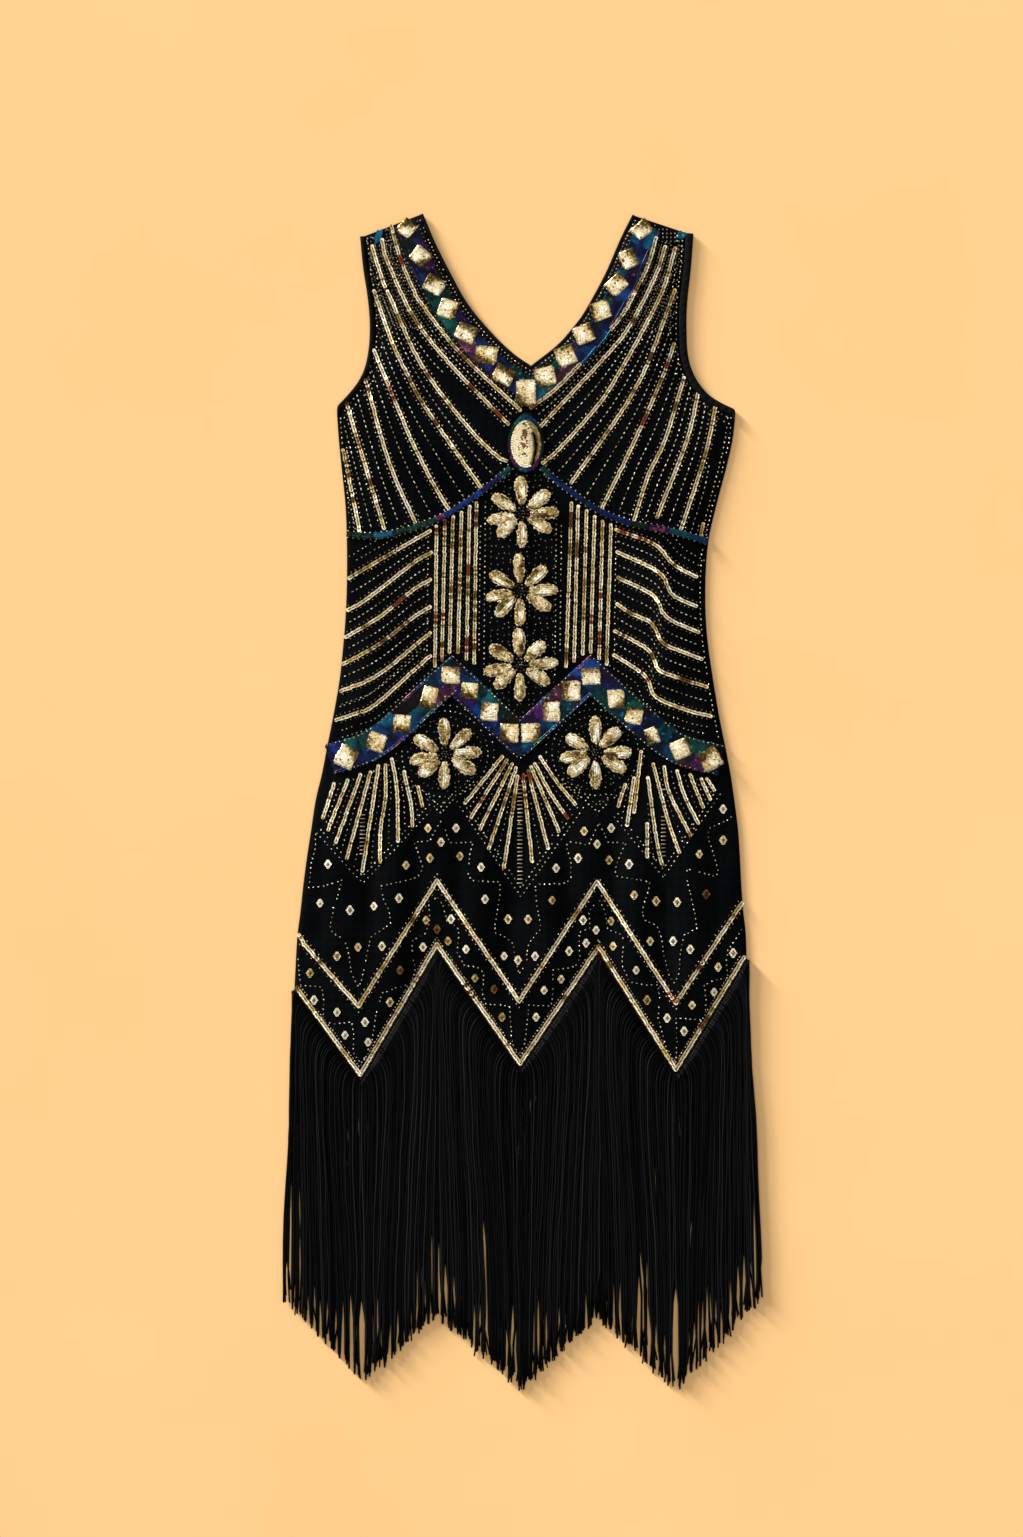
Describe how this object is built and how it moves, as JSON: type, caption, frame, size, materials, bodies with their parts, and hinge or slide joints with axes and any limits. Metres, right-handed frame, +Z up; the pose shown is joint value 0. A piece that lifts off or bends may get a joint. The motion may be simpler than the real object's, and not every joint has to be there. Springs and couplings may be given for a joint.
{
  "type": "flapper dress",
  "caption": "Sleeveless flapper dress laid flat, front up: beaded V-neck front, plain back, zigzag hem with a deep fringe.",
  "frame": {"origin": "middle of the laid dress's outline, on the surface that it lies on", "axes": "+Y from the hem to the shoulders, +X to the right of the front as it is seen, +Z up from the surface"},
  "size_m": [0.4764, 1.1735, 0.0102],
  "materials": {
    "beaded_net": "matte black net over crepe, beaded",
    "plain_crepe": "matte black crepe",
    "bias_binding": "black satin bias binding",
    "iridescent_sequins": "iridescent blue, teal and purple sequins",
    "gold_sequins": "metallized champagne gold sequins",
    "fringe_yarn": "black chainette yarn"
  },
  "bodies": {
    "root": {"front_panel": "beaded_net", "back_panel": "plain_crepe", "neck_binding_front": "bias_binding", "neck_binding_back": "bias_binding", "armhole_binding_front_left": "bias_binding", "armhole_binding_front_right": "bias_binding", "armhole_binding_back_left": "bias_binding", "armhole_binding_back_right": "bias_binding", "neck_band": "iridescent_sequins", "hip_band": "iridescent_sequins", "bust_cord_left": "iridescent_sequins", "bust_cord_right": "iridescent_sequins", "neck_jewel": "gold_sequins", "flower_middle_1": "gold_sequins", "flower_middle_2": "gold_sequins", "flower_middle_3": "gold_sequins", "flower_hip_left": "gold_sequins", "flower_hip_right": "gold_sequins", "fringe_front": "fringe_yarn", "fringe_back": "fringe_yarn"}
  },
  "joints": []
}
